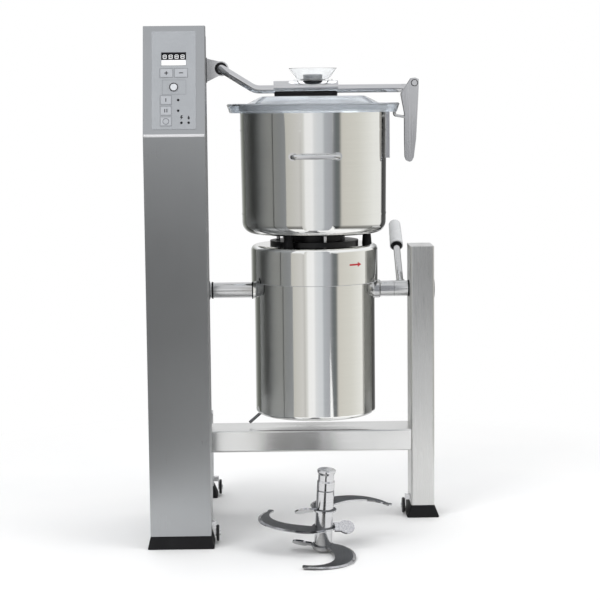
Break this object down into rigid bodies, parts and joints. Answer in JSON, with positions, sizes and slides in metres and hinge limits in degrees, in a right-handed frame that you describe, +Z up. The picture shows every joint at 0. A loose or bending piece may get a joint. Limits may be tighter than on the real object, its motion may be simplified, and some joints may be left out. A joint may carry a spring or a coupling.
{
  "type": "bowl cutter",
  "caption": "Floor-standing tilting bowl cutter: control column, trunnion-mounted motor drum, steel bowl, clear lid on a swing arm with latch, loose sickle-knife rotor.",
  "frame": {"origin": "middle of the footprint on the floor, under the centre of the bounding box", "axes": "+X to the operator's right, +Y to the back, +Z up"},
  "size_m": [0.73, 0.834, 1.25],
  "materials": {
    "brushed_stainless": "brushed",
    "polished_stainless": "polished",
    "satin_stainless": "satin",
    "black_rubber": "matt",
    "black_plastic": "matt",
    "grey_plastic": "satin",
    "clear_plastic": "clear",
    "panel_film": "satin",
    "key_film": "satin",
    "display": "gloss",
    "board_green": "satin",
    "cast_aluminium": "cast",
    "motor_iron": "laminated",
    "bronze": "satin",
    "clear_knob": "clear",
    "grip_grey": "satin",
    "blade_steel": "ground"
  },
  "bodies": {
    "frame": {"column_spine": "brushed_stainless", "column_casing": "brushed_stainless", "rear_service_panel": "brushed_stainless", "control_plate": "panel_film", "panel_lenses": "display", "control_board": "board_green", "motor_controller": "cast_aluminium", "crossbar": "satin_stainless", "right_post": "brushed_stainless", "rear_leg": "brushed_stainless", "foot_pads": "black_rubber", "left_trunnion_tube": "satin_stainless", "frame_seals": "black_rubber", "bearing_bushes": "black_plastic", "axle_end_cap": "black_plastic", "arm_bracket": "brushed_stainless", "cable_gland": "black_plastic", "wheel_brackets": "satin_stainless"},
    "tilt_head": {"motor_housing": "polished_stainless", "motor_cap": "polished_stainless", "bottom_cover": "satin_stainless", "motor_frame": "cast_aluminium", "motor_stator": "motor_iron", "motor_bearings": "satin_stainless", "bayonet_ring": "black_plastic", "bowl_rest_pads": "black_rubber", "drain_spout": "polished_stainless", "left_bush": "bronze", "right_axle": "satin_stainless", "lever_collar": "satin_stainless", "tilt_lever_rod": "satin_stainless", "tilt_lever_grip": "grip_grey"},
    "drive": {"drive_shaft": "satin_stainless"},
    "bowl_body": {"bowl": "polished_stainless", "bowl_handles": "polished_stainless", "bowl_catch": "satin_stainless", "bayonet_pins": "satin_stainless"},
    "lid_carrier": {"lid_arm": "satin_stainless", "lid_saddle": "black_rubber", "lid": "clear_plastic", "lid_seal": "grey_plastic"},
    "wiper": {"funnel_knob": "clear_knob", "wiper_spindle": "grey_plastic", "wiper_blade": "grey_plastic"},
    "latch": {"latch_lever": "brushed_stainless", "latch_pin": "satin_stainless", "latch_bail": "satin_stainless"},
    "knives": {"knife_hub": "satin_stainless", "knife_lower": "blade_steel", "knife_middle": "blade_steel", "knife_upper": "blade_steel"},
    "key_plus_cap": {"key_plus": "key_film"},
    "key_minus_cap": {"key_minus": "key_film"},
    "key_stop_cap": {"key_stop": "key_film"},
    "key_one_cap": {"key_one": "key_film"},
    "key_two_cap": {"key_two": "key_film"},
    "key_pulse_cap": {"key_pulse": "key_film"},
    "wheel_front": {"transport_wheel_front": "black_plastic"},
    "wheel_right": {"transport_wheel_right": "black_plastic"},
    "wheel_rear": {"transport_wheel_rear": "black_plastic"}
  },
  "joints": [
    {"name": "bowl_tilt", "type": "hinge", "parent": "frame", "child": "tilt_head", "pos_m": [0.051, 0.15196, 0.588], "axis": [1, 0, 0], "range_deg": [0, 90]},
    {"name": "lid_swing", "type": "hinge", "parent": "frame", "child": "lid_carrier", "pos_m": [-0.1825, 0.15196, 1.154], "axis": [0, -1, 0], "range_deg": [0, 117]},
    {"name": "bowl_twist", "type": "hinge", "parent": "tilt_head", "child": "bowl_body", "pos_m": [0.051, 0.15196, 0.735], "axis": [0, 0, 1], "range_deg": [0, 20]},
    {"name": "drive_spin", "type": "hinge", "parent": "tilt_head", "child": "drive", "pos_m": [0.051, 0.15196, 0.6], "axis": [0, 0, 1], "continuous": true},
    {"name": "wiper_turn", "type": "hinge", "parent": "lid_carrier", "child": "wiper", "pos_m": [0.051, 0.15196, 1.1], "axis": [0, 0, 1], "continuous": true},
    {"name": "latch_swing", "type": "hinge", "parent": "lid_carrier", "child": "latch", "pos_m": [0.3085, 0.15196, 1.113], "axis": [0, -1, 0], "range_deg": [-4, 75]},
    {"name": "knife_lift", "type": "slide", "parent": "frame", "child": "knives", "axis": [0, 0, 1], "range_m": [0, 0.15]},
    {"name": "key_plus_press", "type": "slide", "parent": "frame", "child": "key_plus_cap", "axis": [0, 0.9602, -0.2791], "range_m": [0, 0.001], "stiffness_N_per_m": 800, "springref_m": -0.0012},
    {"name": "key_minus_press", "type": "slide", "parent": "frame", "child": "key_minus_cap", "axis": [0, 0.9602, -0.2791], "range_m": [0, 0.001], "stiffness_N_per_m": 800, "springref_m": -0.0012},
    {"name": "key_stop_press", "type": "slide", "parent": "frame", "child": "key_stop_cap", "axis": [0, 0.9602, -0.2791], "range_m": [0, 0.001], "stiffness_N_per_m": 800, "springref_m": -0.0012},
    {"name": "key_one_press", "type": "slide", "parent": "frame", "child": "key_one_cap", "axis": [0, 0.9602, -0.2791], "range_m": [0, 0.001], "stiffness_N_per_m": 800, "springref_m": -0.0012},
    {"name": "key_two_press", "type": "slide", "parent": "frame", "child": "key_two_cap", "axis": [0, 0.9602, -0.2791], "range_m": [0, 0.001], "stiffness_N_per_m": 800, "springref_m": -0.0012},
    {"name": "key_pulse_press", "type": "slide", "parent": "frame", "child": "key_pulse_cap", "axis": [0, 0.9602, -0.2791], "range_m": [0, 0.001], "stiffness_N_per_m": 800, "springref_m": -0.0012},
    {"name": "wheel_front_spin", "type": "hinge", "parent": "frame", "child": "wheel_front", "pos_m": [-0.1979, -0.14203, 0.0235], "axis": [1, 0, 0], "continuous": true},
    {"name": "wheel_right_spin", "type": "hinge", "parent": "frame", "child": "wheel_right", "pos_m": [0.2759, 0.12996, 0.0235], "axis": [1, 0, 0], "continuous": true},
    {"name": "wheel_rear_spin", "type": "hinge", "parent": "frame", "child": "wheel_rear", "pos_m": [-0.2059, 0.37996, 0.0235], "axis": [1, 0, 0], "continuous": true}
  ],
  "couplings": [
    {"joint": "lid_swing", "follows": "bowl_tilt", "ratio": 1.3}
  ]
}
